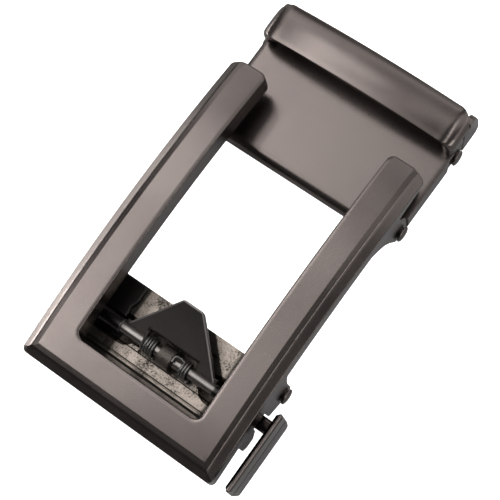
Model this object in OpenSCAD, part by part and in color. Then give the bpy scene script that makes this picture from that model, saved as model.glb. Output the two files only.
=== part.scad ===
// Ratchet belt buckle: an open front frame, a back plate with a sprung pawl and its
// release lever, and a hinged end with a keeper loop and a toothed strap jaw.
// The buckle lies on its back. X runs along the belt, Y across it and Z up.
// Inside the file X starts at the crossbar's end and Z at the crest of the arched face.

/* [Front frame] */
// Width of the front frame across the belt
frame_w = 40; // [38.5:0.5:46]
// Length of the front frame, from the crossbar's end to the arm tips
frame_len = 62; // [58:0.5:70]
// Thickness of the frame, square to its face
frame_t = 4.3; // [3.6:0.1:5]
// Width of each arm
arm_w = 7.2; // [6:0.1:8]
// Width of the crossbar
crossbar_w = 7; // [6:0.1:8.5]
// Radius of the arched face along the belt
arch_r = 183.5; // [140:0.5:300]
// Distance of the arch's crest from the crossbar's end
crest_x = 33.7; // [29:0.1:36]
// Width of the bevelled border
border_w = 2.5; // [1.8:0.1:3.2]
// Drop of the bevelled border down to the side wall
border_drop = 1.27; // [0.8:0.01:2]
// Radius of the window's corners
window_r = 1.5; // [0.5:0.1:3]
// Radius of the crossbar's outer corners
corner_r = 1; // [0.4:0.1:2]
// Cut across the outer corner of each arm tip
tip_cut = 1.5; // [0.5:0.1:2.5]
// Thickness of the ears under the arms
ear_t = 1.6; // [1.3:0.1:2]

/* [Strap] */
// Width of the strap that the buckle takes
strap_w = 35; // [30:0.5:35.5]
// Thickness of the strap that the buckle takes
strap_t = 3.3; // [2.4:0.1:3.6]
// Play left above the strap
strap_play = 0.2; // [0.1:0.05:0.6]

/* [Rivets] */
// Diameter of the rivet shanks
rivet_d = 1.8; // [1.2:0.1:2]
// Diameter of the rivet heads
rivet_head_d = 3; // [2.6:0.1:3]
// Height of a rivet head with its neck
rivet_head_h = 0.75; // [0.5:0.05:1]
// Running clearance of a pin in its hole
pin_play = 0.05; // [0.02:0.01:0.08]

/* [Pawl and lever] */
// Diameter of the lever shaft
shaft_d = 2.1; // [1.6:0.1:2.4]
// Diameter of the collar at the shaft's far end
collar_d = 2.7; // [2.6:0.1:3.2]
// Distance of the shaft from the window's end
shaft_in = 6.3; // [5.6:0.1:7]
// Width of the pawl at the shaft
pawl_w = 19.2; // [16:0.2:20]
// Width of the pawl's tip
pawl_tip_w = 5.3; // [3:0.1:8]
// Reach of the pawl from the shaft along the belt
pawl_len = 9.15; // [7:0.05:9.5]
// Rise of the pawl's tip above the shaft
pawl_rise = 5.4; // [4:0.1:5.6]
// Thickness of the pawl
pawl_t = 1.5; // [1:0.1:1.6]
// Wire of the torsion springs
spring_wire = 0.5; // [0.35:0.05:0.6]
// Outer diameter of the torsion springs
spring_d = 3.4; // [3.2:0.1:3.6]
// Length of the release lever's paddle
paddle_len = 15.3; // [12:0.1:18]
// Width of the release lever's paddle
paddle_w = 8.8; // [6:0.1:9]
// Thickness of the release lever's paddle
paddle_t = 1.2; // [0.8:0.1:1.8]
// Gap between the paddle and the frame's side
paddle_gap = 2.3; // [1.6:0.1:4]

/* [Back plate] */
// Distance from the shaft's axis down to the back plate's face
plate_drop = 1.5; // [1.4:0.05:1.8]
// Depth of the pocket for the springs
pocket_depth = 0.8; // [0.4:0.1:1]

/* [Hinged end] */
// Distance of the hinge from the arm tips
hinge_back = 8.5; // [7:0.1:9.5]
// Length of the hinged end, from its hinge to the jaw's lip
end_len = 23.8; // [22.5:0.1:28]
// Depth of the hinged end, from its face to the floor
end_h = 4; // [4:0.1:5]
// Thickness of the plate that the strap slides on
end_t = 1.4; // [1.1:0.1:1.6]
// Width of the keeper bar along the belt
keeper_w = 7.4; // [6:0.1:8]
// Thickness of the keeper bar at its middle
keeper_t = 2.9; // [2.2:0.1:3.4]
// Drop of the keeper bar's crown from its middle to its ends
keeper_drop = 1.4; // [0.6:0.1:1.6]
// Height of the jaw's teeth
tooth_h = 0.8; // [0.4:0.1:1]
// Number of teeth across the jaw
tooth_count = 9; // [5:1:12]

/* [Hidden] */
$fn = 64;
eps = 0.01;
far = 60;
// Gap between pieces that move past each other
gap = 0.3;

// Heights below the crest of the arched face
function face_z(x) = sqrt(pow(arch_r, 2) - pow(x - crest_x, 2)) - arch_r;
function under_z(x) = sqrt(pow(arch_r - frame_t, 2) - pow(x - crest_x, 2)) - arch_r;
strap_space = strap_t + strap_play;
shaft_x = crossbar_w + shaft_in;
bearing_wall = 0.35;
shaft_z = under_z(shaft_x) - strap_space - bearing_wall - shaft_d / 2;
end_z = under_z(frame_len) - strap_space;
floor_z = end_z - end_h;

// Places across the belt
side_y = frame_w / 2;
window_y = side_y - arm_w;
ear_y = side_y - ear_t;
inner_y = ear_y - gap;

// Rivet places
rivet_r = rivet_d / 2;
head_r = rivet_head_d / 2;
plate_rivet_x = shaft_x + 6.1;
plate_rivet_z = shaft_z - 1.2;
hinge_x = frame_len - hinge_back;
hinge_z = end_z - 1.8;
end_x = hinge_x + end_len;
jaw_x = end_x - 7.2;
jaw_z = floor_z + head_r + 0.1;
ear_nose = min(2, rivet_r + 1.1);

// Points of a round stretch, from angle a to angle b about c
function arc(c, r, a, b, n = 6) =
  [for (i = [0:n]) c + r * [cos(a + (b - a) * i / n), sin(a + (b - a) * i / n)]];

// A plain outline in X and Z, made y1 - y0 thick
module along_y(points, y0, y1) {
  translate([0, y1, 0]) rotate([90, 0, 0]) linear_extrude(y1 - y0) polygon(points);
}

// The same outline on both sides of the buckle
module both_sides(points, y0, y1) {
  along_y(points, y0, y1);
  along_y(points, -y1, -y0);
}

// A round bar across the belt
module bar(x, z, r, y0, y1) {
  translate([x, y1, z]) rotate([90, 0, 0]) cylinder(r = r, h = y1 - y0);
}

// Front frame: border profile as shares of its width and drop, from the face outwards
border_steps = [[1, 0], [0.63, 0.13], [0.48, 0.31], [0, 1]];

module arched_slab() {
  section = concat(
    [[arch_r - frame_t, side_y]],
    [for (s = [len(border_steps) - 1:-1:0])
      [arch_r - border_steps[s][1] * border_drop, side_y - border_steps[s][0] * border_w]],
    [for (s = border_steps) [arch_r - s[1] * border_drop, border_w * s[0] - side_y]],
    [[arch_r - frame_t, -side_y]]);
  sweep_a = acos((frame_len + 2 - crest_x) / arch_r);
  sweep_b = 90 + asin((crest_x + 2) / arch_r);
  translate([crest_x, 0, -arch_r]) rotate([90, 0, 0]) rotate([0, 0, sweep_a])
    rotate_extrude(angle = sweep_b - sweep_a, $fn = 720) polygon(section);
}

module frame_plan() {
  tip_r = min(window_r, arm_w / 3);
  half = concat(
    arc([corner_r, corner_r - side_y], corner_r, 180, 270),
    [[frame_len - tip_cut, -side_y], [frame_len, tip_cut - side_y]],
    arc([frame_len - tip_r, -window_y - tip_r], tip_r, 0, 90),
    arc([crossbar_w + window_r, window_r - window_y], window_r, 270, 180));
  last = len(half) - 1;
  polygon(concat(half, [for (i = [last:-1:0]) [half[i][0], -half[i][1]]]));
}

// The bevelled border across the end of the crossbar, as the solid that it removes
module end_border() {
  points = concat(
    [for (s = border_steps) [s[0] * border_w, face_z(s[0] * border_w) - s[1] * border_drop]],
    [[-1, face_z(0) - border_drop], [-1, 1], [border_w, 1]]);
  along_y(points, -far, far);
}

// Ears that hold the back plate, with an open notch for the lever's stem
stem_r = collar_d / 2 - 0.05;
module plate_ears() {
  top = under_z(shaft_x) + frame_t / 3;
  low = plate_rivet_z + 0.1;
  front = crossbar_w + 0.7;
  lobe = head_r + 0.35;
  slot_a = shaft_x - stem_r - 0.35;
  slot_b = shaft_x + stem_r + 0.35;
  slot_top = shaft_z + stem_r + 1.6;
  back = plate_rivet_x + 1.5;
  both_sides(concat(
    [[front, top], [front, low + 0.8]],
    [[front + 0.8, low], [slot_a - 1.1, low], [slot_a, shaft_z + 1], [slot_a, slot_top],
      [slot_b, slot_top], [slot_b, low]],
    arc([plate_rivet_x, plate_rivet_z], lobe, 250, 370, 8),
    [[back + 0.2, shaft_z + 2], [back + 0.9, under_z(back) - 0.4],
      [back + 2.8, under_z(back + 2.8) + 0.3], [back + 3.6, top]]), ear_y, side_y);
}

// Ears that carry the hinged end
module hinge_ears() {
  top = under_z(hinge_x) + frame_t / 3;
  nose = ear_nose;
  under = under_z(hinge_x);
  both_sides(concat(
    [[hinge_x - 8.6, top], [hinge_x - 8, under + 0.3], [hinge_x - 6.1, under - 0.9],
      [hinge_x - 4.3, under - 2.5], [hinge_x - 2.9, under - 4.8]],
    arc([hinge_x, hinge_z], nose, 200, 360, 8),
    [[hinge_x + nose, hinge_z + 3.3], [hinge_x + nose - 0.45, hinge_z + 4.2],
      [hinge_x + nose - 1.35, under - 1], [hinge_x + nose - 1.35, top]]), ear_y, side_y);
}

module front_frame() color([0.36, 0.34, 0.34]) difference() {
  union() {
    difference() {
      intersection() {
        arched_slab();
        translate([0, 0, -far]) linear_extrude(2 * far) frame_plan();
      }
      end_border();
    }
    plate_ears();
    hinge_ears();
  }
  for (s = [-1, 1]) {
    bar(plate_rivet_x, plate_rivet_z, rivet_r + pin_play, s * side_y - 3, s * side_y + 3);
    bar(hinge_x, hinge_z, rivet_r + pin_play, s * side_y - 3, s * side_y + 3);
  }
}

// A round-headed rivet that points inwards from the face at y; side is 1 or -1
neck_h = 0.2;
neck_r = head_r - 0.35;
module rivet(x, z, y, reach, side) {
  rim_h = (rivet_head_h - neck_h) * 0.4;
  dome_h = rivet_head_h - neck_h - rim_h;
  dome_r = (pow(head_r, 2) + pow(dome_h, 2)) / (2 * dome_h);
  translate([x, side * y, z]) rotate([-90 * side, 0, 0]) {
    translate([0, 0, -reach]) cylinder(r = rivet_r, h = reach + eps);
    translate([0, 0, pin_play]) cylinder(r = neck_r, h = neck_h);
    translate([0, 0, neck_h]) cylinder(r = head_r, h = rim_h);
    translate([0, 0, neck_h + rim_h]) intersection() {
      translate([0, 0, dome_h - dome_r]) sphere(r = dome_r);
      cylinder(r = head_r, h = dome_h + 1);
    }
    cylinder(r = rivet_r, h = neck_h);
  }
}

// Back plate with its pocket, bearings, troughs beside the pawl and strap ribs
plate_z = shaft_z - plate_drop;
plate_x0 = crossbar_w + 0.4;
plate_x1 = plate_rivet_x + 2;
bearing_r = shaft_d / 2 + bearing_wall + 0.3;
pawl_lug_r = shaft_d / 2 + 0.7;
trough_r = 3.1;
trough_y = pawl_w / 2 - 0.2;
pocket_y0 = -6.6;
pocket_y1 = 5.5;
cheek_y = inner_y - 1.7;
eye_y = 11.6;
eye_r = 1.2;
rib_w = 0.33;
module back_plate() color([0.62, 0.61, 0.6]) difference() {
  union() {
    along_y([[plate_x0, floor_z + 0.6], [plate_x0 + 0.6, floor_z], [plate_x1 - 0.6, floor_z],
      [plate_x1, floor_z + 0.6], [plate_x1, plate_z], [plate_x0, plate_z]], -inner_y, inner_y);
    // Centre bearing
    bar(shaft_x, shaft_z, bearing_r + 0.3, -1.2, 1.4);
    along_y([[shaft_x - bearing_r - 0.3, plate_z - pocket_depth - 0.5],
      [shaft_x + bearing_r + 0.3, plate_z - pocket_depth - 0.5],
      [shaft_x + bearing_r + 0.3, shaft_z], [shaft_x - bearing_r - 0.3, shaft_z]], -1.2, 1.4);
    // Cheeks against the ears
    for (s = [-1, 1]) {
      y0 = s > 0 ? cheek_y : -inner_y;
      y1 = s > 0 ? inner_y : -cheek_y;
      bar(shaft_x, shaft_z, collar_d / 2 + bearing_wall, y0, y1);
      bar(plate_rivet_x, plate_rivet_z, head_r + 0.3, y0, y1);
      along_y([[shaft_x - collar_d / 2 - bearing_wall, plate_z - 1], [plate_x1, plate_z - 1],
        [plate_x1, plate_rivet_z + 0.6], [shaft_x + collar_d / 2 + bearing_wall, shaft_z],
        [shaft_x - collar_d / 2 - bearing_wall, shaft_z]], y0, y1);
    }
  }
  // Pocket under the springs, on both sides of the centre bearing
  for (span = [[pocket_y0, -1.2], [1.4, pocket_y1]])
    along_y([[shaft_x - 2.2, plate_z - pocket_depth], [plate_x1 - 3, plate_z - pocket_depth],
      [plate_x1 - 3, plate_z + 5], [shaft_x - 2.2, plate_z + 5]], span[0], span[1]);
  // Room under the pawl's lugs
  for (s = [-1, 1]) {
    bar(shaft_x, shaft_z, pawl_lug_r + gap, s > 0 ? 4.3 : -trough_y, s > 0 ? trough_y : -4.3);
    // Round-ended troughs, stopped at the cheeks
    intersection() {
      bar(shaft_x, shaft_z, trough_r, s > 0 ? trough_y : -cheek_y, s > 0 ? cheek_y : -trough_y);
      translate([shaft_x - 5, -far, plate_z - 5]) cube([10, 2 * far, 15]);
    }
    translate([shaft_x, s * trough_y, shaft_z]) sphere(r = trough_r);
    // Eyes through the plate beside the pawl
    translate([plate_rivet_x, s * eye_y, floor_z - 1]) cylinder(r = eye_r, h = 10);
    bar(plate_rivet_x, plate_rivet_z, rivet_r + pin_play, s * inner_y - 4, s * inner_y + 4);
  }
  bar(shaft_x, shaft_z, shaft_d / 2 + pin_play, -far, cheek_y - 1);
  bar(shaft_x, shaft_z, collar_d / 2 + pin_play, cheek_y - 2, far);
  // Ribs across the strap, left between two grooves
  for (i = [0, 1])
    translate([plate_x0 + rib_w * (1.5 + 2 * i), -inner_y - 1, plate_z - 0.4])
      cube([rib_w, 2 * inner_y + 2, 2]);
}

// Shaft with its collar at the far side
module lever_shaft() color([0.7, 0.7, 0.7]) {
  bar(shaft_x, shaft_z, shaft_d / 2, -side_y - 1, pawl_w / 2 + 0.3);
  bar(shaft_x, shaft_z, collar_d / 2, pawl_w / 2 + 0.2, inner_y);
}

// Release lever: a flat paddle outside the frame, with a stem on the shaft
paddle_y = -side_y - paddle_gap;
paddle_x1 = shaft_x + 2.65;
paddle_top = shaft_z + 7.1;
module release_lever() color([0.33, 0.31, 0.31]) difference() {
  x0 = paddle_x1 - paddle_len;
  low = paddle_top - paddle_w;
  cut = 1.4;
  edge = 0.35;
  union() {
    hull() {
      along_y([[x0, paddle_top], [paddle_x1, paddle_top], [paddle_x1, low + 2 * cut],
        [paddle_x1 - cut, low], [x0 + cut, low], [x0, low + 2 * cut]],
        paddle_y - paddle_t + edge, paddle_y);
      along_y([[x0 + edge, paddle_top - edge], [paddle_x1 - edge, paddle_top - edge],
        [paddle_x1 - edge, low + 2 * cut], [paddle_x1 - cut - edge / 2, low + edge],
        [x0 + cut + edge / 2, low + edge], [x0 + edge, low + 2 * cut]],
        paddle_y - paddle_t, paddle_y - paddle_t + edge);
    }
    bar(shaft_x, shaft_z, stem_r, paddle_y - eps, -ear_y);
    bar(shaft_x - 2, shaft_z + 0.4, 0.8, paddle_y - eps, paddle_y + 1);
  }
  bar(shaft_x, shaft_z, shaft_d / 2 + pin_play, -side_y - 1 - pin_play, far);
}

// Pawl: a bent wedge-shaped tongue with two lugs that hold the shaft from below
notch_y = 4.45;
module pawl() color([0.2, 0.19, 0.19]) {
  base_x = shaft_x + 0.8;
  base_z = shaft_z + 0.7;
  tip_x = shaft_x + pawl_len;
  tip_z = shaft_z + pawl_rise;
  bend_x = base_x + (tip_x - base_x) * 0.56;
  bend_z = base_z + (tip_z - base_z) * 0.53;
  under = pawl_t * 1.13;
  tip_r = 1;
  spread = atan2(pawl_w / 2 - pawl_tip_w / 2, tip_x - base_x);
  tip_arc = arc([tip_x - tip_r, pawl_tip_w / 2 - tip_r], tip_r, 0, 90 - spread);
  outline = concat(
    [[base_x, notch_y], [base_x, pawl_w / 2]],
    [for (i = [len(tip_arc) - 1:-1:0]) tip_arc[i]],
    [for (p = tip_arc) [p[0], -p[1]]],
    [[base_x, -pawl_w / 2], [base_x, -notch_y], [base_x + 1.8, -notch_y],
      [base_x + 1.8, notch_y]]);
  difference() {
    union() {
      intersection() {
        translate([0, 0, -far]) linear_extrude(2 * far) polygon(outline);
        along_y([[base_x, base_z], [bend_x, bend_z], [tip_x, tip_z], [tip_x, tip_z - under],
          [bend_x, bend_z - under], [base_x, base_z - under]], -far, far);
      }
      for (s = [-1, 1]) difference() {
        bar(shaft_x, shaft_z, pawl_lug_r, s > 0 ? notch_y + 0.15 : -pawl_w / 2,
          s > 0 ? pawl_w / 2 : -notch_y - 0.15);
        along_y([[shaft_x, shaft_z], [shaft_x + 4, shaft_z + 2.6], [shaft_x - 4, shaft_z + 4],
          [shaft_x - 4, shaft_z - 4], [shaft_x - 0.6, shaft_z - 4]], -far, far);
      }
    }
    bar(shaft_x, shaft_z, shaft_d / 2 + pin_play, -far, far);
  }
}

// Torsion springs as plain sleeves around the shaft
spring_spans = [[-4.3, -2.7], [1.8, 4.2]];
module spring(span) color([0.6, 0.6, 0.6]) difference() {
  bar(shaft_x, shaft_z, spring_d / 2, span[0], span[1]);
  bar(shaft_x, shaft_z, spring_d / 2 - spring_wire, span[0] - 1, span[1] + 1);
}

// Hinged end: plate, side walls, hinge barrel and keeper loop in one casting
nose_r = end_h / 2;
barrel_x = hinge_x - 0.9;
keeper_x1 = end_x - 1;
keeper_x0 = keeper_x1 - keeper_w;
keeper_y = side_y + 0.2;
keeper_under = end_z + strap_space;
keeper_top = keeper_under + keeper_t;
leg_x = keeper_x1 - 1.8;
joint_x = jaw_x + 1.4;
slant = 1.3;
wall_x0 = hinge_x + ear_nose + gap;
module side_walls() {
  lobe = jaw_z - floor_z - 0.05;
  both_sides(concat(
    [[wall_x0, end_z]],
    arc([hinge_x, hinge_z], ear_nose + gap, 0, -40, 4),
    [[jaw_x - 8.6, floor_z + 0.35], [jaw_x - 4.3, floor_z], [jaw_x - 2.5, floor_z],
      [jaw_x - 2.2, floor_z + 1.2]],
    arc([jaw_x, jaw_z], lobe, 200, 330, 8),
    [[joint_x + slant, end_z + 1.8], [joint_x + slant, end_z + 2.2]],
    [[keeper_x0, end_z + 2.2], [keeper_x0 - 1.2, end_z]]), ear_y, side_y);
}

module keeper_loop() {
  arch = (pow(keeper_y, 2) + pow(keeper_drop, 2)) / (2 * keeper_drop);
  round_r = 2.4;
  bottom = end_z - 0.4;
  steps = 16;
  y_arc = keeper_y - round_r * 0.9;
  crown = [for (i = [0:steps]) let (y = -y_arc + 2 * y_arc * i / steps)
    [y, keeper_top - arch + sqrt(pow(arch, 2) - pow(y, 2))]];
  shoulder = crown[steps][1] - round_r;
  right = [for (a = [90:-15:0])
    [y_arc + (keeper_y - y_arc) * cos(a), shoulder + round_r * sin(a)]];
  left = [for (i = [len(right) - 1:-1:0]) [-right[i][0], right[i][1]]];
  inner = strap_w / 2 + 0.4;
  foot = end_z + 1.8;
  top_r = (pow(keeper_w / 2, 2) + 0.2) / (2 * 0.45);
  mid_x = (keeper_x0 + keeper_x1) / 2;
  corner = 2;
  intersection() {
    translate([keeper_x0 - 2, 0, 0]) rotate([90, 0, 90]) linear_extrude(keeper_w + 4)
      difference() {
        polygon(concat(crown, right, [[keeper_y, foot], [-keeper_y, foot]], left));
        translate([-inner, foot - 1]) square([2 * inner, keeper_under - foot + 1]);
      }
    along_y(concat([[keeper_x0 - 0.4, foot]],
      [for (i = [0:10]) let (x = keeper_x0 + keeper_w * i / 10)
        [x, keeper_top - top_r + sqrt(pow(top_r, 2) - pow(x - mid_x, 2))]],
      [[keeper_x1, keeper_under], [leg_x, keeper_under - 0.4], [leg_x - 0.5, foot]]), -far, far);
    translate([0, 0, -far]) linear_extrude(2 * far) polygon(concat(
      [[keeper_x0 - 1, keeper_y], [keeper_x0 - 1, -keeper_y]],
      arc([keeper_x1 - corner, corner - keeper_y], corner, -90, 0),
      arc([keeper_x1 - corner, keeper_y - corner], corner, 0, 90)));
  }
}

module clamp_housing() color([0.38, 0.36, 0.36]) difference() {
  union() {
    translate([barrel_x, -ear_y, end_z - end_t])
      cube([end_x - 1.7 - barrel_x, 2 * ear_y, end_t]);
    bar(barrel_x, end_z - nose_r, nose_r, -inner_y, inner_y);
    side_walls();
    keeper_loop();
  }
  // The ears' room beside the barrel
  for (s = [-1, 1]) {
    translate([hinge_x - 10, s > 0 ? inner_y : -inner_y - 9, floor_z - 1])
      cube([wall_x0 - hinge_x + 10, 9, end_h + 2]);
    bar(hinge_x, hinge_z, rivet_r + pin_play, s * inner_y - 4, s * inner_y + 4);
    bar(jaw_x, jaw_z, rivet_r + pin_play, s * side_y - 3, s * side_y + 3);
    // Relief over the jaw's lugs
    bar(jaw_x, jaw_z, jaw_lug_r + gap, s > 0 ? inner_y - 2 : -ear_y, s > 0 ? ear_y : 2 - inner_y);
  }
}

// Jaw: cheeks and a toothed floor that close on the strap's end
jaw_floor_t = 1.1;
jaw_lug_r = rivet_r + 0.5;
jaw_cheek_y = ear_y + gap;
module clamp_jaw() color([0.38, 0.36, 0.36]) difference() {
  cut = 0.9;
  lip_z = floor_z + jaw_floor_t;
  cheek_z = keeper_under - 0.9;
  union() {
    both_sides([[joint_x + gap + 0.15, floor_z + 0.4], [joint_x + gap + 0.5, floor_z],
      [end_x - cut, floor_z], [end_x, floor_z + cut], [end_x, end_z],
      [end_x - 0.5, cheek_z - 0.7], [end_x - 1.2, cheek_z], [leg_x + gap, cheek_z],
      [leg_x + gap, end_z + 1.4], [joint_x + slant + gap, end_z + 1.4]], jaw_cheek_y, side_y);
    along_y([[joint_x + gap + 0.5, floor_z], [end_x - cut, floor_z], [end_x, floor_z + cut],
      [end_x, lip_z], [joint_x + gap + 0.5, lip_z]], -side_y, side_y);
    for (s = [-1, 1]) {
      y0 = s > 0 ? inner_y - 1.7 : -inner_y;
      bar(jaw_x, jaw_z, jaw_lug_r, y0, y0 + 1.7);
      along_y([[jaw_x, jaw_z - jaw_lug_r], [joint_x + gap + 1, floor_z + 0.05],
        [joint_x + gap + 1, jaw_z], [jaw_x, jaw_z + 0.6]], y0, y0 + 1.7);
    }
    pitch = strap_w / tooth_count;
    for (i = [0:tooth_count - 1])
      translate([0, (i + 0.5) * pitch - strap_w / 2, 0])
        along_y([[joint_x + 1.6, lip_z - 0.2], [joint_x + 2.4, lip_z + tooth_h],
          [joint_x + 3.2, lip_z - 0.2]], -pitch / 3, pitch / 3);
  }
  for (s = [-1, 1]) bar(jaw_x, jaw_z, rivet_r + pin_play, s * inner_y - 4, s * inner_y + 4);
}

// The whole buckle stands on its floor, centred in its own box
paddle_far = side_y + paddle_gap + paddle_t;
rivet_far = side_y + rivet_head_h;
module placed() {
  translate([-end_x / 2, (paddle_far - rivet_far) / 2, -floor_z]) children();
}
plate_reach = side_y - inner_y + 1.9;
hinge_reach = side_y - inner_y + 3;
jaw_reach = side_y - inner_y + 1.4;

placed() front_frame();
placed() back_plate();
placed() color("gray") rivet(plate_rivet_x, plate_rivet_z, side_y, plate_reach, -1);  // plate_rivet_right
placed() color("gray") rivet(plate_rivet_x, plate_rivet_z, side_y, plate_reach, 1);  // plate_rivet_left
placed() lever_shaft();
placed() release_lever();
placed() pawl();
placed() spring(spring_spans[0]);  // spring_right
placed() spring(spring_spans[1]);  // spring_left
placed() color("gray") rivet(hinge_x, hinge_z, side_y, hinge_reach, -1);  // hinge_rivet_right
placed() color("gray") rivet(hinge_x, hinge_z, side_y, hinge_reach, 1);  // hinge_rivet_left
placed() clamp_housing();
placed() color("gray") rivet(jaw_x, jaw_z, side_y, jaw_reach, -1);  // jaw_rivet_right
placed() color("gray") rivet(jaw_x, jaw_z, side_y, jaw_reach, 1);  // jaw_rivet_left
placed() clamp_jaw();
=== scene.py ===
from math import asin, atan, cos, degrees, pi, radians, sin, sqrt, tan

import bmesh
import bpy
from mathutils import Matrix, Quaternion, Vector


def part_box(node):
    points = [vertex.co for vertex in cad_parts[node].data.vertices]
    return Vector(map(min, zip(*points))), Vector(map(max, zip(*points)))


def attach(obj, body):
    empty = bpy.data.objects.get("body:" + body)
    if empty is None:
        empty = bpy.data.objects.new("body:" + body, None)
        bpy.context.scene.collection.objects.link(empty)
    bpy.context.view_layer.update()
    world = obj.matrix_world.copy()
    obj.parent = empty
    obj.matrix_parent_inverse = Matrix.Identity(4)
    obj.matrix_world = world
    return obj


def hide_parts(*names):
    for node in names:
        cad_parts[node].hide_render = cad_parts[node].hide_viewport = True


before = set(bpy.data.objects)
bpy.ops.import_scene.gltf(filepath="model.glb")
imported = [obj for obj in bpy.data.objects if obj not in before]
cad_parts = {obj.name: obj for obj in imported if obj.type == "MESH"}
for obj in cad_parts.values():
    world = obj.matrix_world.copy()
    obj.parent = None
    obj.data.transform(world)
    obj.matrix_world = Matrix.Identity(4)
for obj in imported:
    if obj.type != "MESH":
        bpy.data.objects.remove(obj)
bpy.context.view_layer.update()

# Front frame: a zinc die casting with a crossbar and two arms, arched along the belt.
# A bevelled border runs round its outside as far as the arm tips, and ears for the back
# plate and the hinged end hang under it. It is blasted fine and plated satin gunmetal.
MM = 0.001
frame_low, frame_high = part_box("front_frame")
# Pieces are drawn in millimetres from the crossbar's end, the middle line and the crest
DRAWING_START = Vector((frame_low.x, (frame_low.y + frame_high.y) / 2, frame_high.z))
FRAME_LENGTH = 62.0
FRAME_HALF_WIDTH = 20.0
FRAME_THICKNESS = 4.3
ARM_WIDTH = 7.2
CROSSBAR_WIDTH = 7.0
CROSSBAR_DRAFT = 0.75
FACE_RADIUS = 183.5
CREST_X = 33.7
# The flat frame is cut across at this pitch, so that it can be arched
ARCH_PITCH = 2.0
OUTER_CORNER = 1.0
WINDOW_CORNER = 1.5
BORDER_CORNER = 0.14
CORNER_STEPS = 8
# The arms are drawn longer by this, and then cut to their tips
SPARE_LENGTH = 1.0
TIP_INNER_ROUND = 1.25
# The tip slants back by this angle, in degrees, toward its rounded outer corner
TIP_SLANT = 22
TIP_SLANT_ROUND = 4.0
TIP_SLANT_CENTRE = (58.0, -17.04)
TIP_CORNER_ROUND = 0.8
TIP_CORNER_CENTRE = (60.58, -19.2)
TIP_LENGTH = 3.0
TIP_RIM = 0.2
TIP_RELIEF = ((61.0, -20.0, -1.9), (52.0, -20.0, -4.15), (61.0, -16.6, -4.3))
TIP_RELIEF_EDGE = 0.14
# A face looks along an axis when its normal's share along it is more than this
LOOKING_ALONG = 0.1
# Edges sharper than the first angle are broken, and edges up to the second are shaded smooth
SHARP_ANGLE = radians(32)
SMOOTH_ANGLE = radians(48)
SHADING_WEIGHT = 60
MERGE_DISTANCE = 0.0008
CUT_TOLERANCE = 0.0001
GUNMETAL_DARK = (0.103, 0.087, 0.082)
GUNMETAL_LIGHT = (0.122, 0.105, 0.097)
GUNMETAL_ROUGHNESS = 0.21


class Socket:
    """An output of a material's node; sums and products of sockets add Math nodes."""

    def __init__(self, finish, output):
        self.finish = finish
        self.output = output

    def __add__(self, other):
        return self.finish.math("ADD", self, other)

    def __sub__(self, other):
        return self.finish.math("SUBTRACT", self, other)

    def __rsub__(self, other):
        return self.finish.math("SUBTRACT", other, self)

    def __mul__(self, other):
        return self.finish.math("MULTIPLY", self, other)

    def __abs__(self):
        return self.finish.math("ABSOLUTE", self)

    __radd__ = __add__
    __rmul__ = __mul__


class Finish:
    """A material, built node by node, and the shader that its nodes feed."""

    def __init__(self, name):
        self.material = bpy.data.materials.new(name)
        self.material.use_nodes = True
        self.tree = self.material.node_tree
        self.shader = self.tree.nodes["Principled BSDF"]
        self.place = self.node("ShaderNodeTexCoord", result="Object")

    def node(self, kind, settings=None, values=None, result=0):
        """Adds a node with these settings and socket values, and gives back one output."""
        made = self.tree.nodes.new(kind)
        for setting, value in (settings or {}).items():
            setattr(made, setting, value)
        for key, value in (values or {}).items():
            self.feed(made.inputs[key], value)
        return Socket(self, made.outputs[result])

    def feed(self, target, value):
        if isinstance(value, Socket):
            self.tree.links.new(value.output, target)
        else:
            target.default_value = value

    def math(self, operation, *numbers):
        return self.node("ShaderNodeMath", {"operation": operation}, dict(enumerate(numbers)))

    def grain(self, size_mm, detail=2.0, roughness=0.5):
        """Even noise with grains of about this size."""
        return self.node(
            "ShaderNodeTexNoise", {"noise_dimensions": "3D"},
            {"Vector": self.place, "Scale": 1 / (size_mm * MM), "Detail": detail,
             "Roughness": roughness})

    def between(self, mask, low, high):
        """The mask's low to high drawn out to 0 to 1, with soft ends."""
        return self.node(
            "ShaderNodeMapRange", {"interpolation_type": "SMOOTHSTEP"},
            {"Value": mask, "From Min": low, "From Max": high})

    def mix(self, mask, first, second):
        """The first colour where the mask is 0 and the second where it is 1."""
        return self.node(
            "ShaderNodeMix", {"data_type": "RGBA"},
            {0: mask, 6: (*first, 1.0), 7: (*second, 1.0)}, result=2)

    def bump(self, height, strength, depth_mm):
        return self.node(
            "ShaderNodeBump", None,
            {"Height": height, "Strength": strength, "Distance": depth_mm * MM})

    def shade(self, **values):
        """Feeds the shader's sockets, and gives back the finished material."""
        for name, value in values.items():
            self.feed(self.shader.inputs[name.replace("_", " ")], value)
        return self.material


def gunmetal_plating():
    """Satin plating over a fine blasted casting."""
    finish = Finish("gunmetal")
    cloud = finish.between(finish.grain(size_mm=9.0), low=0.3, high=0.7)
    grain = finish.grain(size_mm=0.16, detail=3.0, roughness=0.6)
    fine = finish.grain(size_mm=0.05, detail=1.0)
    return finish.shade(
        Base_Color=finish.mix(cloud * 0.6 + grain * 0.4, GUNMETAL_DARK, GUNMETAL_LIGHT),
        Metallic=1.0,
        Roughness=GUNMETAL_ROUGHNESS + cloud * 0.03 + grain * 0.05,
        Normal=finish.bump(grain * 0.6 + fine * 0.4, strength=0.25, depth_mm=0.006),
    )


def vertices_of(geometry):
    return [item for item in geometry if isinstance(item, bmesh.types.BMVert)]


def edges_of(geometry):
    return [item for item in geometry if isinstance(item, bmesh.types.BMEdge)]


def everything(bm):
    return list(bm.verts) + list(bm.edges) + list(bm.faces)


def on_circle(centre, radius, angle):
    """The point of a circle at this angle, in degrees."""
    return (centre[0] + radius * cos(radians(angle)), centre[1] + radius * sin(radians(angle)))


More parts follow.
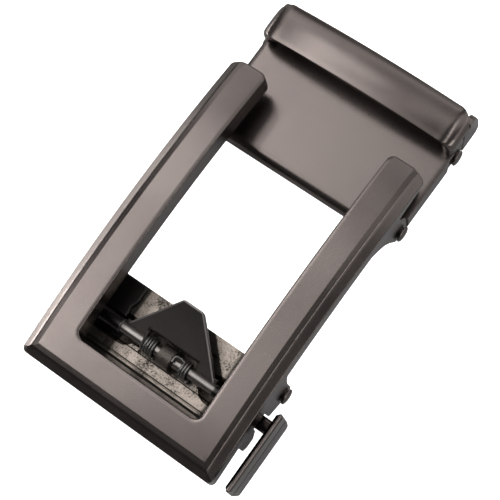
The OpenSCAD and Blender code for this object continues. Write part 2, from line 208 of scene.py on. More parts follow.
def arc(centre, radius, start, end, steps=8):
    """Points of a round stretch of an outline, between two angles in degrees."""
    return [on_circle(centre, radius, start + (end - start) * step / steps)
            for step in range(steps + 1)]


def closed_wire(bm, points):
    """A ring of new vertices at these points, and its edges."""
    ring = [bm.verts.new(point) for point in points]
    edges = [bm.edges.new((first, second)) for first, second in zip(ring, ring[1:] + ring[:1])]
    return ring, edges


def round_off(bm, corner, radius, segments=3):
    """Rounds one corner of a wire outline."""
    before, after = (edge.other_vert(corner).co - corner.co for edge in corner.link_edges)
    reach = radius / tan(before.angle(after) / 2)
    bmesh.ops.bevel(
        bm, geom=[corner], offset=reach, offset_type="OFFSET", segments=segments, profile=0.5,
        affect="VERTICES", material=-1)


def break_edges(bm, edges, width, segments=2, clamp_overlap=True):
    bmesh.ops.bevel(
        bm, geom=list(edges), offset=width, offset_type="OFFSET", segments=segments, profile=0.5,
        affect="EDGES", clamp_overlap=clamp_overlap, material=-1)


def soften(bm, edges, width, segments=2):
    """Breaks the sharp ones of these edges."""
    sharp = [edge for edge in edges if edge.calc_face_angle(0.0) > SHARP_ANGLE]
    break_edges(bm, sharp, width, segments)


def cut(bm, point, normal, parts=None, clear_outer=False):
    """Cuts these parts, or the whole mesh, along a plane, and gives back the cut's edges."""
    made = bmesh.ops.bisect_plane(
        bm, geom=parts or everything(bm), dist=CUT_TOLERANCE, plane_co=point, plane_no=normal,
        clear_outer=clear_outer)
    return edges_of(made["geom_cut"])


def extrude_ring(bm, edges):
    """Extrudes a ring of edges, and gives back the new ring's vertices and edges."""
    made = bmesh.ops.extrude_edge_only(bm, edges=edges)["geom"]
    ring = vertices_of(made)
    kept = set(ring)
    return ring, [edge for edge in edges_of(made) if set(edge.verts) <= kept]


def slab(bm, outline, near, far, edge_break=0):
    """A plate with this outline in X and Z, reaching across from near to far."""
    cap = bm.faces.new([bm.verts.new((x, near, z)) for x, z in outline])
    made = bmesh.ops.extrude_face_region(bm, geom=[cap])["geom"]
    bmesh.ops.translate(bm, verts=vertices_of(made), vec=(0, far - near, 0))
    shell = {face for vertex in vertices_of(made) for face in vertex.link_faces} | {cap}
    bmesh.ops.recalc_face_normals(bm, faces=list(shell))
    if edge_break:
        soften(bm, {edge for face in shell for edge in face.edges}, edge_break)


def to_object(bm, name, material):
    """The finished mesh, moved from the drawing to its place, as an object."""
    bmesh.ops.remove_doubles(bm, verts=bm.verts, dist=MERGE_DISTANCE)
    bmesh.ops.recalc_face_normals(bm, faces=bm.faces)
    bmesh.ops.scale(bm, verts=bm.verts, vec=(MM, MM, MM))
    bmesh.ops.translate(bm, verts=bm.verts, vec=DRAWING_START)
    mesh = bpy.data.meshes.new(name)
    bm.to_mesh(mesh)
    bm.free()
    mesh.shade_smooth()
    mesh.set_sharp_from_angle(angle=SMOOTH_ANGLE)
    mesh.materials.append(material)
    piece = bpy.data.objects.new(name, mesh)
    bpy.context.scene.collection.objects.link(piece)
    shading = piece.modifiers.new("even_shading", "WEIGHTED_NORMAL")
    shading.keep_sharp = True
    shading.weight = SHADING_WEIGHT
    return piece


# The border's section: distance in from the outer edge, depth and radius of each corner
FRAME_SECTION = (
    (0.0, FRAME_THICKNESS, 0.25),
    (0.0, 1.27, 0.3),
    (1.2, 0.394, 0.9),
    (1.575, 0.165, 0.6),
    (2.5, 0.0, 0.7),
    (ARM_WIDTH - 0.6, 0.0, 2.0),
    (ARM_WIDTH, 0.06, 0.3),
    (ARM_WIDTH + CROSSBAR_DRAFT, FRAME_THICKNESS, 0.3),
)


def frame_station(inward, turn):
    """Where a point of the section lies in plan; turn runs from 0 to a quarter turn."""
    draft = max(inward - ARM_WIDTH, 0)
    inward -= draft
    if inward < ARM_WIDTH / 2:
        radius = max(BORDER_CORNER, OUTER_CORNER - inward)
        along = inward
    else:
        radius = WINDOW_CORNER + ARM_WIDTH - inward
        along = CROSSBAR_WIDTH - (ARM_WIDTH - inward)
    return (along + radius * (1 - cos(turn)) + draft * (1 - turn / (pi / 2)),
            -FRAME_HALF_WIDTH + inward + radius * (1 - sin(turn)))


def frame_half(bm):
    """Half the flat frame, swept from the middle line round the corner to the arm tip."""
    wire, _ = closed_wire(bm, [(0, inward, -depth) for inward, depth, _ in FRAME_SECTION])
    for corner, (_, _, radius) in zip(wire, FRAME_SECTION):
        round_off(bm, corner, radius)
    inward = bm.verts.layers.float.new("inward")
    for vertex in bm.verts:
        vertex[inward] = vertex.co.y
        vertex.co.x, vertex.co.y = frame_station(vertex[inward], 0)[0], 0
    ring = list(bm.edges)
    for step in range(CORNER_STEPS + 1):
        fresh, ring = extrude_ring(bm, ring)
        for vertex in fresh:
            turn = pi / 2 * step / CORNER_STEPS
            vertex.co.x, vertex.co.y = frame_station(vertex[inward], turn)
    fresh, ring = extrude_ring(bm, ring)
    for vertex in fresh:
        vertex.co.x = FRAME_LENGTH + SPARE_LENGTH


def trim_arm_tip(bm):
    """Cuts the arm to its rounded tip and breaks the tip's rim."""
    inner = (FRAME_LENGTH - TIP_INNER_ROUND, ARM_WIDTH - FRAME_HALF_WIDTH - TIP_INNER_ROUND)
    rounds = (
        (inner, TIP_INNER_ROUND, (15, 30, 45, 60, 75)),
        (TIP_SLANT_CENTRE, TIP_SLANT_ROUND, [-TIP_SLANT * share / 4 for share in (1, 2, 3, 4)]),
        (TIP_CORNER_CENTRE, TIP_CORNER_ROUND, (-33, -45, -56, -67, -79)),
    )
    cuts = [((FRAME_LENGTH, 0), 0)]
    for centre, radius, turns in rounds:
        cuts += [(on_circle(centre, radius, turn), turn) for turn in turns]
    for (x, y), turn in cuts:
        normal = (cos(radians(turn)), sin(radians(turn)), 0)
        cut(bm, (x, y, 0), normal, clear_outer=True)
        rim = [edge for edge in bm.edges
               if edge.is_boundary and edge.verts[0].co.x > FRAME_LENGTH / 2]
        bmesh.ops.holes_fill(bm, edges=rim, sides=0)
    bmesh.ops.recalc_face_normals(bm, faces=bm.faces)
    tip = [face for face in bm.faces
           if face.normal.x > LOOKING_ALONG and abs(face.normal.z) < LOOKING_ALONG
           and face.calc_center_median().x > FRAME_LENGTH - TIP_LENGTH]
    rim = {edge for face in tip for edge in face.edges
           if any(other not in tip for other in edge.link_faces)}
    break_edges(bm, rim, TIP_RIM, segments=3, clamp_overlap=False)


def relieve_arm_tip(bm):
    """Cuts the tip's lower outer edge slantwise, clear of the hinged end's side wall."""
    corners = [Vector(corner) for corner in TIP_RELIEF]
    normal = (corners[1] - corners[0]).cross(corners[2] - corners[0])
    if normal.z > 0:
        normal.negate()
    rim = [edge for edge in cut(bm, corners[0], normal, clear_outer=True) if edge.is_boundary]
    bmesh.ops.holes_fill(bm, edges=rim, sides=0)
    break_edges(bm, [edge for edge in rim if edge.is_valid], TIP_RELIEF_EDGE)


def cut_across(bm, start, end, pitch):
    """Cuts the mesh across the belt at even steps."""
    for step in range(int((end - start) / pitch) + 1):
        cut(bm, (start + step * pitch, 0, 0), (1, 0, 0))


def arch_along_belt(bm):
    """Bends the flat frame to its arch."""
    for vertex in bm.verts:
        radius = FACE_RADIUS + vertex.co.z
        vertex.co.z = sqrt(radius ** 2 - (vertex.co.x - CREST_X) ** 2) - FACE_RADIUS


EAR_INNER_Y = 18.4
EAR_OUTER_Y = 19.9
EAR_EDGE = 0.22
STEM_SLOT = (11.65, 14.95)
# Places of the rivets and pins: along the belt and in height
PLATE_RIVET = (19.4, -11.565)
HINGE_PIN = (53.5, -11.849)
plate_ear = (
    [(7.7, -5.6), (7.7, -10.665), (8.5, -11.465), (10.55, -11.465), (STEM_SLOT[0], -9.365),
     (STEM_SLOT[0], -7.465), (STEM_SLOT[1], -7.465), (STEM_SLOT[1], -11.465)]
    + arc(PLATE_RIVET, 1.85, 250, 370)
    + [(21.05, -8.8), (21.3, -6.7), (21.7, -5.4), (22.3, -4.6), (23.3, -3.9), (24.6, -3.3)]
)
hinge_ear = (
    [(44.9, -3.9), (45.5, -4.9), (47.4, -6.15), (49.2, -7.75), (50.6, -10.05)]
    + arc(HINGE_PIN, 2.0, 200, 360)
    + [(55.5, -8.549), (55.05, -7.649), (54.15, -6.25), (54.15, -4.2)]
)

gunmetal = gunmetal_plating()
front = bmesh.new()
frame_half(front)
trim_arm_tip(front)
relieve_arm_tip(front)
cut_across(front, 2 * ARCH_PITCH, FRAME_LENGTH - ARCH_PITCH, ARCH_PITCH)
bmesh.ops.mirror(front, geom=everything(front), merge_dist=MERGE_DISTANCE, axis="Y")
arch_along_belt(front)
for ear in (plate_ear, hinge_ear):
    for side in (-1, 1):
        slab(front, ear, side * EAR_INNER_Y, side * EAR_OUTER_Y, EAR_EDGE)
front_frame = to_object(front, "frame_casting", gunmetal)
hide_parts("front_frame")
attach(front_frame, "frame")

# Rivets: turned steel pins with low domed heads, plated with the frame. Two hold the back
# plate, two are the hinge's pins and two are the jaw's pins. Each head stands on a short
# neck that is narrower than the head.
RIVET_SHANK = 0.9
RIVET_NECK = 1.15
RIVET_HEAD = 1.5
JAW_PIN = (70.1, -12.449)
# Radius and place outward from the frame's side
rivet_profile = (
    (0.0, -1.9), (RIVET_SHANK, -1.9), (RIVET_SHANK, 0.0), (RIVET_NECK, 0.0), (RIVET_NECK, 0.2),
    (1.42, 0.2), (RIVET_HEAD, 0.27), (RIVET_HEAD, 0.4), (1.44, 0.5), (1.25, 0.6), (0.95, 0.68),
    (0.55, 0.73), (0.0, 0.75),
)
rivet_places = (
    ("plate_rivet", PLATE_RIVET, "frame"),
    ("hinge_rivet", HINGE_PIN, "frame"),
    ("jaw_rivet", JAW_PIN, "clamp"),
)


def turned(bm, profile, centre, steps=40):
    """A round piece across the belt: its profile is radius and place along Y."""
    x, z = centre
    wire = [bm.verts.new((x + radius, y, z)) for radius, y in profile]
    edges = [bm.edges.new((first, second)) for first, second in zip(wire, wire[1:])]
    bmesh.ops.spin(
        bm, geom=wire + edges, cent=(x, 0, z), axis=(0, 1, 0), angle=2 * pi, steps=steps,
        use_merge=True)


for kind, centre, body in rivet_places:
    for hand, side in (("right", -1), ("left", 1)):
        rivet = bmesh.new()
        profile = [(radius, side * (FRAME_HALF_WIDTH + out)) for radius, out in rivet_profile]
        turned(rivet, profile, centre)
        piece = to_object(rivet, kind + "_pin_" + hand, gunmetal)
        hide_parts(kind + "_" + hand)
        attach(piece, body)

# Back plate: a rough zinc casting between the ears, bare in the middle and darkened with
# painted shade at its sides, under the arms. It has a pocket for the springs, darkened with
# painted shade, a bearing in the middle, round-ended troughs beside the pawl and two grooves
# that hold the strap. The solid's own mesh is kept.
# Colour of the painted shade on the zinc, and the zinc's own colour
ZINC_PAINTED_SHADE = (0.02, 0.018, 0.016)
ZINC_BARE = (0.47, 0.405, 0.355)
# Outward of this half width the zinc is darkened with painted shade, under the arms
UNSHADED_HALF_WIDTH = 10.0
# Painted shade on lines across the zinc, in the strap's two grooves and at the pocket's edge, with
# half widths
PAINTED_SHADE_LINES = ((8.2, 0.24), (9.05, 0.11), (11.2, 0.12))
# Painted shade in the springs' pocket: its start and end along X, half width and strength
POCKET_START_X = 11.4
POCKET_END_X = 16.2
POCKET_HALF_WIDTH = 5.6
POCKET_PAINTED_SHADE = 0.8
# A painted shadow of the pawl lies beside it as a strip, given along X and Y from its start to its
# end
PAWL_SHADOW_START = (14.27, -10.1)
PAWL_SHADOW_END = (23.15, -1.3)
PAWL_SHADOW_HALF_WIDTH = 1.25


def drawing_place(finish, axis):
    """Place on the drawing along X or Y, in millimetres."""
    place = finish.node("ShaderNodeSeparateXYZ", None, {"Vector": finish.place}, result=axis)
    return (place - getattr(DRAWING_START, axis.lower())) * (1 / MM)


def beyond(finish, place, line, blur):
    """Mask that is 0 before this line on the drawing and 1 beyond it, with a soft edge."""
    return finish.between(place, line - blur, line + blur)


def raw_zinc_casting():
    """Rough zinc, darkened with painted shade at its sides, in its pocket and along three lines,
    with a painted shadow of the pawl beside it.
    """
    finish = Finish("raw_zinc")
    grit = finish.grain(size_mm=0.35, detail=4.0, roughness=0.7)
    pits = finish.grain(size_mm=0.12, roughness=0.6)
    cloud = finish.grain(size_mm=3.5, detail=3.0)
    along = drawing_place(finish, "X")
    sideways = drawing_place(finish, "Y")
    across = abs(sideways) + grit * 0.5
    # Painted shade at the sides under the arms darkens the zinc
    unshaded = 1 - beyond(finish, across, UNSHADED_HALF_WIDTH, blur=0.3) * 0.9
    # Painted shade along the grooves and the pocket's edge
    for line_x, half_width in PAINTED_SHADE_LINES:
        unshaded = unshaded * beyond(finish, abs(along - line_x), half_width, blur=0.05)
    # Painted shade in the springs' pocket
    pocket = beyond(finish, along, POCKET_START_X, blur=0.3)
    pocket = pocket * (1 - beyond(finish, along, POCKET_END_X, blur=0.3))
    pocket = pocket * (1 - beyond(finish, across, POCKET_HALF_WIDTH, blur=0.5))
    unshaded = unshaded * (1 - pocket * POCKET_PAINTED_SHADE)
    # Painted shadow of the pawl, a strip beside it on the plate
    slope = (PAWL_SHADOW_END[1] - PAWL_SHADOW_START[1]) / (PAWL_SHADOW_END[0] - PAWL_SHADOW_START[0])
    from_pawl_shadow = abs(sideways - PAWL_SHADOW_START[1] - (along - PAWL_SHADOW_START[0]) * slope) + grit * 0.6
    unshaded = unshaded * beyond(finish, from_pawl_shadow, PAWL_SHADOW_HALF_WIDTH, blur=0.2)
    speckle = finish.between(grit * 0.45 + cloud * 0.4 + pits * 0.15, low=0.38, high=0.56)
    return finish.shade(
        Base_Color=finish.mix(speckle * unshaded, ZINC_PAINTED_SHADE, ZINC_BARE),
        Metallic=1.0,
        Roughness=0.36 + pits * 0.25,
        Normal=finish.bump(grit * 0.7 + pits * 0.3, strength=0.9, depth_mm=0.09),
    )


back_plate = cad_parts["back_plate"]
back_plate.data.materials.clear()
back_plate.data.materials.append(raw_zinc_casting())

# Side pads: low dark-plated lugs of the frame casting that reach in from the ears and lie on
# the back plate beside the pawl. Their inner ends are round and their edges are bevelled.
# They lie under the arms, and their near-black tone is partly painted shade.
PAD_TOP = -11.0
PAD_UNDER = -11.86
PAD_EAR_Y = 18.2
PAD_EDGE = 0.4
# The pads' plating colours, made near black as painted shade under the arms
PAD_DARK = (0.02, 0.018, 0.017)
PAD_LIGHT = (0.036, 0.033, 0.032)


def dark_plating(name, dark, light):
    """Smooth plating with a fine grain, between two colours."""
    finish = Finish(name)
    grain = finish.grain(size_mm=0.2, detail=3.0, roughness=0.6)
    cloud = finish.grain(size_mm=4.0)
    return finish.shade(
        Base_Color=finish.mix(grain * 0.5 + cloud * 0.5, dark, light),
        Metallic=1.0,
        Roughness=0.3 + grain * 0.12,
        Normal=finish.bump(grain, strength=0.3, depth_mm=0.012),
    )


# In plan: places along X and sideways
pad_outline = (
    [(15.15, PAD_EAR_Y), (15.15, 10.6), (16.4, 10.65)]
    + arc((18.5, 12.9), 2.6, 232, 285, 5)
    + arc((20.5, 11.1), 0.8, 265, 360, 5)
    + [(21.35, PAD_EAR_Y)]
)
pads = bmesh.new()
for side in (-1, 1):
    lid = pads.faces.new([pads.verts.new((x, side * y, PAD_UNDER)) for x, y in pad_outline])
    raised = vertices_of(bmesh.ops.extrude_face_region(pads, geom=[lid])["geom"])
    bmesh.ops.translate(pads, verts=raised, vec=(0, 0, PAD_TOP - PAD_UNDER))
    rim = {edge for vertex in raised for edge in vertex.link_edges
           if edge.other_vert(vertex) in raised and abs(edge.verts[0].co.y) < PAD_EAR_Y}
    break_edges(pads, rim, PAD_EDGE)
side_pads = to_object(pads, "side_pads", dark_plating("black_plating", PAD_DARK, PAD_LIGHT))
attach(side_pads, "frame")

# Lever shaft: drawn steel rod that turns in the plate's bearings, with a collar pressed on
# at its far end. Its near end reaches through the frame's slot into the lever's stem. The
# steel is bare between the bearings, and outward of them, under the arms and in the slot, it
# is darkened with painted shade.
SHAFT = (13.3, -10.365)
SHAFT_RADIUS = 1.05
SHAFT_NEAR_END = -20.98
SHAFT_FAR_END = 18.1
COLLAR_START = 9.8
COLLAR_RADIUS = 1.35
SHAFT_STEPS = 48
# Outward of this the steel is darkened with painted shade, under the arms and in the slot
PAINTED_SHADE_FROM = 9.9
STEEL_PAINTED_SHADE = (0.03, 0.028, 0.027)
STEEL_BARE = (0.21, 0.195, 0.185)
# The drawing die's lines: size of the pattern along X, Y and Z in millimetres
DRAW_LINES = (0.05, 3.0, 0.05)


def bright_drawn_steel():
    finish = Finish("bright_steel")
    scale = tuple(1 / (size * MM) for size in DRAW_LINES)
    drawn = finish.node("ShaderNodeMapping", None, {"Vector": finish.place, "Scale": scale})
    lines = finish.node("ShaderNodeTexNoise", None, {"Vector": drawn, "Scale": 1.0, "Detail": 3.0})
    # Painted shade outward of the bearings
    unshaded = 1 - beyond(finish, abs(drawing_place(finish, "Y")), PAINTED_SHADE_FROM, blur=0.3)
    return finish.shade(
        Base_Color=finish.mix(unshaded * (0.8 + lines * 0.2), STEEL_PAINTED_SHADE, STEEL_BARE),
        Metallic=1.0,
        Roughness=0.26 + lines * 0.08,
        Normal=finish.bump(lines, strength=0.08, depth_mm=0.004),
    )


shaft_profile = (
    (0.0, SHAFT_NEAR_END), (0.9, SHAFT_NEAR_END), (SHAFT_RADIUS, SHAFT_NEAR_END + 0.13),
    (SHAFT_RADIUS, COLLAR_START), (COLLAR_RADIUS - 0.12, COLLAR_START),
    (COLLAR_RADIUS, COLLAR_START + 0.12), (COLLAR_RADIUS, SHAFT_FAR_END - 0.15),
    (COLLAR_RADIUS - 0.15, SHAFT_FAR_END), (0.0, SHAFT_FAR_END),
)
shaft = bmesh.new()
turned(shaft, shaft_profile, SHAFT, SHAFT_STEPS)
shaft_piece = to_object(shaft, "shaft_rod", bright_drawn_steel())
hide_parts("lever_shaft")
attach(shaft_piece, "release")

# Release lever: a flat zinc paddle with clipped lower corners that stands beside the frame.
# Its rim is bevelled and a groove runs along its outer face. A round stem joins it to the
# shaft, and a small stop boss stands beside the stem. Plated with the frame.
PADDLE_INNER_Y = -22.3
PADDLE_OUTER_Y = -23.5
PADDLE_INNER_RIM = 0.72
PADDLE_OUTER_RIM = 0.42
# Upper edge, deepest line and lower edge of the groove along the paddle's outer face
PADDLE_GROOVE = (-6.75, -6.85, -7.3)
PADDLE_GROOVE_DEPTH = 0.38
STEM_BORE = 1.08
STEM_RADIUS = 1.3
STEM_FLARE = 1.45
STEM_START = -18.45
STEM_END = -22.35
STOP_BOSS = (11.3, -9.965)
STOP_BOSS_RADIUS = 0.8
STOP_BOSS_STEPS = 32
# Faces and rims are found by their place, to within this
NEARLY = 0.01
paddle_outline = (
    [(0.65, -3.6), (1.0, -3.265), (15.6, -3.265), (15.95, -3.6), (15.95, -9.0)]
    + arc((14.6, -10.7), 1.36, 10, -80, 4)
    + [(2.25, -12.065)]
    + arc((1.9, -11.2), 0.86, 250, 190, 3)
    + [(0.65, -8.6)]
)
stem_profile = (
    (STEM_BORE, STEM_START), (STEM_RADIUS - 0.05, STEM_START), (STEM_RADIUS, STEM_START - 0.05),
    (STEM_RADIUS, STEM_END + 0.35), (STEM_FLARE, STEM_END), (STEM_BORE, STEM_END),
    (STEM_BORE, STEM_START),
)
boss_profile = (
    (0.0, -21.3), (STOP_BOSS_RADIUS - 0.1, -21.3), (STOP_BOSS_RADIUS, -21.4),
    (STOP_BOSS_RADIUS, -22.4), (0.0, -22.4),
)
lever = bmesh.new()
slab(lever, paddle_outline, PADDLE_INNER_Y, PADDLE_OUTER_Y)
inner_rim = [edge for edge in lever.edges
             if all(end.co.y > PADDLE_INNER_Y - NEARLY for end in edge.verts)]
break_edges(lever, inner_rim, PADDLE_INNER_RIM, segments=1)
outer_rim = [edge for edge in lever.edges
             if all(end.co.y < PADDLE_OUTER_Y + NEARLY for end in edge.verts)]
soften(lever, outer_rim, PADDLE_OUTER_RIM, segments=1)
for height in PADDLE_GROOVE:
    cut(lever, (0, 0, height), (0, 0, 1))
for vertex in lever.verts:
    if (abs(vertex.co.z - PADDLE_GROOVE[1]) < NEARLY
            and vertex.co.y < PADDLE_OUTER_Y + NEARLY):
        vertex.co.y += PADDLE_GROOVE_DEPTH
turned(lever, stem_profile, SHAFT)
turned(lever, boss_profile, STOP_BOSS, STOP_BOSS_STEPS)
lever_piece = to_object(lever, "lever_paddle", gunmetal)
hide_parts("release_lever")
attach(lever_piece, "release")

# Pawl: a bent wedge of a tongue, cast and plated dark. Its tip grips the strap from below.
# It widens to two lugs that are pressed on the shaft, with a notch between them for the
# springs. Its edges are rounded, with a painted highlight round the tip and down the right side.
PAWL_BASE = (14.1, -9.665)
PAWL_BEND = (18.78, -7.17)
PAWL_TIP = (22.6, -4.55)
PAWL_HALF_WIDTH = 9.6
PAWL_TIP_HALF_WIDTH = 2.65
PAWL_TIP_ROUND = 1.0
# Direction in which the tip's round corner meets the pawl's side, in degrees
PAWL_SIDE_ANGLE = 42
PAWL_NOTCH = (15.5, 5.1)
PAWL_DEPTH = 1.65
PAWL_EDGE = 0.42
LUG_RADIUS = 1.75
LUG_BORE = 1.12
LUG_INNER_Y = 5.2
LUG_EDGE = 0.08
PAWL_DARK = (0.1, 0.09, 0.086)
# Colour of the painted highlight along the rim
PAWL_PAINTED_HIGHLIGHT = (0.75, 0.7, 0.68)
# The painted highlight's line: its middle's distance in from the rim, and half its width
HIGHLIGHT_LINE_IN = 0.3
HIGHLIGHT_LINE_HALF_WIDTH = 0.14


def black_plating_with_painted_highlight():
    """Dark plating, with a painted highlight on a line along the tip and the right edge."""
    finish = Finish("black_pawl")
    grain = finish.grain(size_mm=0.2, detail=3.0, roughness=0.6)
    cloud = finish.grain(size_mm=4.0)
    along = drawing_place(finish, "X")
    sideways = drawing_place(finish, "Y")
    narrowing = (PAWL_HALF_WIDTH - PAWL_TIP_HALF_WIDTH + 0.3) / (PAWL_TIP[0] - PAWL_BASE[0] - 0.3)
    from_side = PAWL_HALF_WIDTH - (along - PAWL_BASE[0]) * narrowing - abs(sideways)
    from_rim = finish.math("MINIMUM", from_side * cos(atan(narrowing)), PAWL_TIP[0] - along)
    from_line = abs(from_rim - HIGHLIGHT_LINE_IN) + grain * 0.06
    # Painted highlight on a line in from the rim, fading out toward the left side
    painted_highlight = 1 - beyond(finish, from_line, HIGHLIGHT_LINE_HALF_WIDTH, blur=0.06)
    painted_highlight = painted_highlight * (1 - finish.between(sideways, low=0.5, high=3.0) * 0.75)
    plating = grain * 0.06 + cloud * 0.06
    return finish.shade(
        Base_Color=finish.mix(plating * (1 - painted_highlight) + painted_highlight, PAWL_DARK, PAWL_PAINTED_HIGHLIGHT),
        Metallic=1.0,
        Roughness=0.3 + grain * 0.12,
        Normal=finish.bump(grain, strength=0.3, depth_mm=0.012),
    )


pawl = bmesh.new()
tip_centre = (PAWL_TIP[0] - PAWL_TIP_ROUND, PAWL_TIP_HALF_WIDTH - PAWL_TIP_ROUND)
half_outline = (
    [(PAWL_NOTCH[0], PAWL_NOTCH[1]), (PAWL_BASE[0], PAWL_NOTCH[1]), (PAWL_BASE[0], PAWL_HALF_WIDTH)]
    + arc(tip_centre, PAWL_TIP_ROUND, PAWL_SIDE_ANGLE, 0, 4)
)
outline = half_outline + [(x, -y) for x, y in reversed(half_outline)]
pawl.faces.new([pawl.verts.new((x, y, 0)) for x, y in outline])
cut(pawl, (PAWL_BEND[0], 0, 0), (1, 0, 0))
for vertex in pawl.verts:
    low, high = (PAWL_BASE, PAWL_BEND) if vertex.co.x < PAWL_BEND[0] else (PAWL_BEND, PAWL_TIP)
    share = (vertex.co.x - low[0]) / (high[0] - low[0])
    vertex.co.z = low[1] + share * (high[1] - low[1])
made = bmesh.ops.extrude_face_region(pawl, geom=list(pawl.faces))["geom"]
bmesh.ops.translate(pawl, verts=vertices_of(made), vec=(0, 0, -PAWL_DEPTH))
bmesh.ops.recalc_face_normals(pawl, faces=pawl.faces)
soften(pawl, list(pawl.edges), PAWL_EDGE)
lug_outline = arc(SHAFT, LUG_RADIUS, -98, 30, 12) + arc(SHAFT, LUG_BORE, 30, -98, 12)
for near, far in ((-PAWL_HALF_WIDTH, -LUG_INNER_Y), (LUG_INNER_Y, PAWL_HALF_WIDTH)):
    slab(pawl, lug_outline, near, far, LUG_EDGE)
pawl_piece = to_object(pawl, "pawl_tongue", black_plating_with_painted_highlight())
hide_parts("pawl")
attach(pawl_piece, "release")

# Torsion springs: steel wire wound round the shaft in the pocket, blued dark. One end of
# each lies on the plate. The left one's other end runs up to the pawl, and the right one's
# is hooked over the middle bearing.
WIRE_RADIUS = 0.25
WIRE_SIDES = 10
WIRE_DARK = (0.1, 0.094, 0.09)
WIRE_LIGHT = (0.24, 0.23, 0.22)
COIL_RADIUS = 1.42
COIL_PITCH = 0.52
# A coil begins under the shaft, at this angle in degrees
COIL_START = 270
STEPS_A_TURN = 28
WIRE_END_X = 11.55
LEFT_COIL_Y = 2.55
RIGHT_COIL_Y = -4.6


def coil_path(start_y, turns):
    """Points of a coil round the shaft that begins at this place across the belt."""
    points = []
    for step in range(int(turns * STEPS_A_TURN) + 1):
        share = step / STEPS_A_TURN
        angle = radians(COIL_START) - 2 * pi * share
        points.append(Vector((
            SHAFT[0] + COIL_RADIUS * cos(angle), start_y + share * COIL_PITCH,
            SHAFT[1] + COIL_RADIUS * sin(angle))))
    return points


def wire_along(bm, points):
    """A round wire along a path, closed at both ends."""
    across = (points[1] - points[0]).orthogonal().normalized()
    ring, edges = closed_wire(bm, [(0, 0, 0)] * WIRE_SIDES)
    first_edges = edges
    for index, point in enumerate(points):
        before = points[max(index - 1, 0)]
        after = points[min(index + 1, len(points) - 1)]
        along = (after - before).normalized()
        across = (across - along * across.dot(along)).normalized()
        upward = along.cross(across)
        if index:
            ring, edges = extrude_ring(bm, edges)
        for side, vertex in enumerate(ring):
            turn = 2 * pi * side / WIRE_SIDES
            vertex.co = point + (across * cos(turn) + upward * sin(turn)) * WIRE_RADIUS
    bmesh.ops.holes_fill(bm, edges=first_edges + edges, sides=0)


left_coil = coil_path(LEFT_COIL_Y, turns=4.43)
left_start = [Vector((WIRE_END_X, LEFT_COIL_Y, left_coil[0].z))]
left_end = [left_coil[-1] + Vector((2.3, 0, 1.0))]
right_coil = coil_path(RIGHT_COIL_Y, turns=2.62)
right_start = [Vector((WIRE_END_X, RIGHT_COIL_Y, right_coil[0].z))]
right_end = [Vector(point) for point in (
    (14.2, -2.9, -9.1), (14.3, -2.5, -8.85), (14.25, -1.7, -8.7), (14.1, -1.45, -8.66),
    (13.8, -1.4, -8.64), (13.0, -1.4, -8.62))]
spring_paths = (
    ("left", left_start + left_coil + left_end), ("right", right_start + right_coil + right_end))
spring_wire = dark_plating("spring_wire", WIRE_DARK, WIRE_LIGHT)
for hand, path in spring_paths:
    coil = bmesh.new()
    wire_along(coil, path)
    piece = to_object(coil, "spring_coil_" + hand, spring_wire)
    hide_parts("spring_" + hand)
    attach(piece, "release")

# Hinged end: one zinc casting of a flat plate that the strap slides on, a barrel for the
# hinge, two side walls and a keeper loop that bridges the strap. It turns on the hinge's
# two pins, and it is plated with the frame.
END_TOP = -10.0487
END_FLOOR = -14.0487
PLATE_THICKNESS = 1.4
BARREL = (52.6, -12.0487)
BARREL_RADIUS = 2.0
PLATE_END_X = 75.6
WALL_START_X = 55.8
WALL_EDGE = 0.14
PLATE_INNER_Y = 18.1
# The plate's border slopes down outside this line
SLOPE_Y = 19.13
SLOPE_DROP = 0.13
# The walls' tops lie lower than the plate by this, so that the faces don't fight
TOP_GAP = 0.003
KEEPER_X = (68.9, 76.3)
KEEPER_HALF_WIDTH = 20.2
KEEPER_TOP = -3.649
KEEPER_UNDER = -6.549
KEEPER_DROP = 1.4
KEEPER_SHOULDER = (3.1, 2.9)
KEEPER_OPENING = 17.9
OPENING_ROUND = 1.6
KEEPER_CROWN = 0.45
KEEPER_CORNER_BACK = 2.6
KEEPER_UNDERCUT = 0.5
# The loop's underside is a little narrower than its top, by this share
UNDERSIDE_SHARE = 0.97
LEG_UPPER_BACK_X = 74.4
LEG_BACK_X = 72.8
LEG_STEP_Z = -8.3
LEG_STEP = 0.1
LEG_FOOT_Z = END_TOP - 0.4
# Radius of the loop's front and back edges, over the strap and down the legs
FRONT_EDGE = (0.16, 1.4)
BACK_EDGE = (0.22, 0.35)
SHOULDER_STEPS = 10
CROWN_STEPS = 16
SECTION_STEPS = 12


def widen_plate(bm):
    """Carries the plate's sides out from the barrel's width to the slope's line."""
    cut(bm, (WALL_START_X, 0, 0), (1, 0, 0))
    bm.normal_update()
    for side in (-1, 1):
        cheeks = [face for face in bm.faces
                  if face.normal.y * side > LOOKING_ALONG
                  and face.calc_center_median().x > WALL_START_X]
        made = bmesh.ops.extrude_face_region(bm, geom=cheeks)["geom"]
        bmesh.ops.delete(bm, geom=cheeks, context="FACES_KEEP_BOUNDARY")
        bmesh.ops.translate(
            bm, verts=vertices_of(made), vec=(0, side * (SLOPE_Y - PLATE_INNER_Y), 0))


def side_wall(bm, outline, side):
    """One side wall, its top sloped down outward from the slope's line."""
    before = set(bm.verts)
    slab(bm, outline, side * EAR_INNER_Y, side * FRAME_HALF_WIDTH)
    wall = [vertex for vertex in bm.verts if vertex not in before]
    faces = {face for vertex in wall for face in vertex.link_faces}
    edges = {edge for face in faces for edge in face.edges}
    cut(bm, (0, side * SLOPE_Y, 0), (0, 1, 0), wall + list(edges) + list(faces))
    wall = [vertex for vertex in bm.verts if vertex not in before]
    for vertex in wall:
        if vertex.co.z > END_TOP - NEARLY:
            past = max(abs(vertex.co.y) - SLOPE_Y, 0) / (FRAME_HALF_WIDTH - SLOPE_Y)
            vertex.co.z -= TOP_GAP + past * SLOPE_DROP
    rim = {edge for vertex in wall for edge in vertex.link_edges
           if min(abs(end.co.y) for end in edge.verts) > FRAME_HALF_WIDTH - NEARLY}
    soften(bm, rim, WALL_EDGE)


